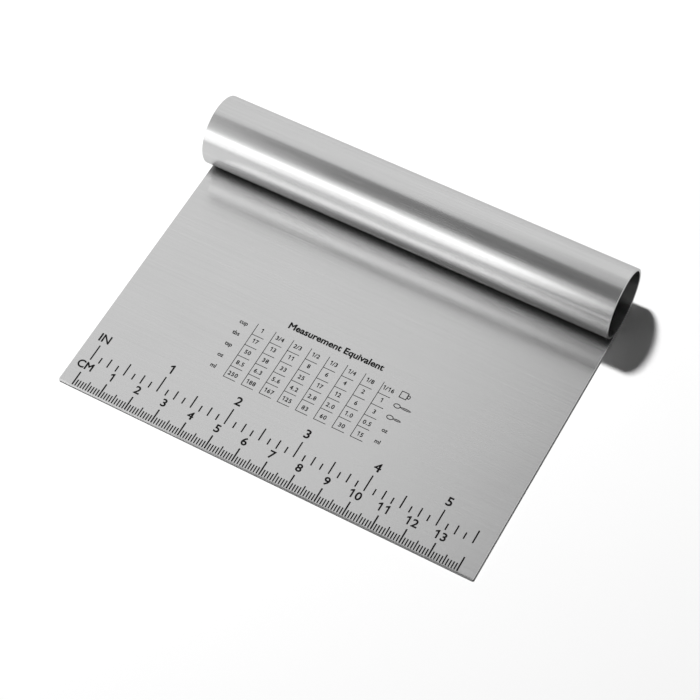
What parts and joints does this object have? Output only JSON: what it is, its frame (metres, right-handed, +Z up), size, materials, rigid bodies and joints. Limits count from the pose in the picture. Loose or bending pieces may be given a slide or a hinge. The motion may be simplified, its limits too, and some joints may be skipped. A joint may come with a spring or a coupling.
{
  "type": "bench scraper",
  "caption": "Flat steel dough scraper rolled from one sheet, its long edge curled into an open tubular handle, with etched measuring scales and a conversion table.",
  "frame": {"origin": "centre of the outline, on the surface that the tool lies on", "axes": "+X along the blade from the zero marks to the highest numbers, +Y from the blade's edge to the handle, +Z up from the underside"},
  "size_m": [0.1508, 0.116, 0.0245],
  "materials": {
    "brushed_steel": "fine brushed grain along the blade, satin",
    "black_enamel": "matt black filling of etched recesses"
  },
  "bodies": {
    "root": {"rolled_steel_body": "brushed_steel", "centimetre_scale_infill": "black_enamel", "inch_scale_infill": "black_enamel", "conversion_table_infill": "black_enamel"}
  },
  "joints": []
}
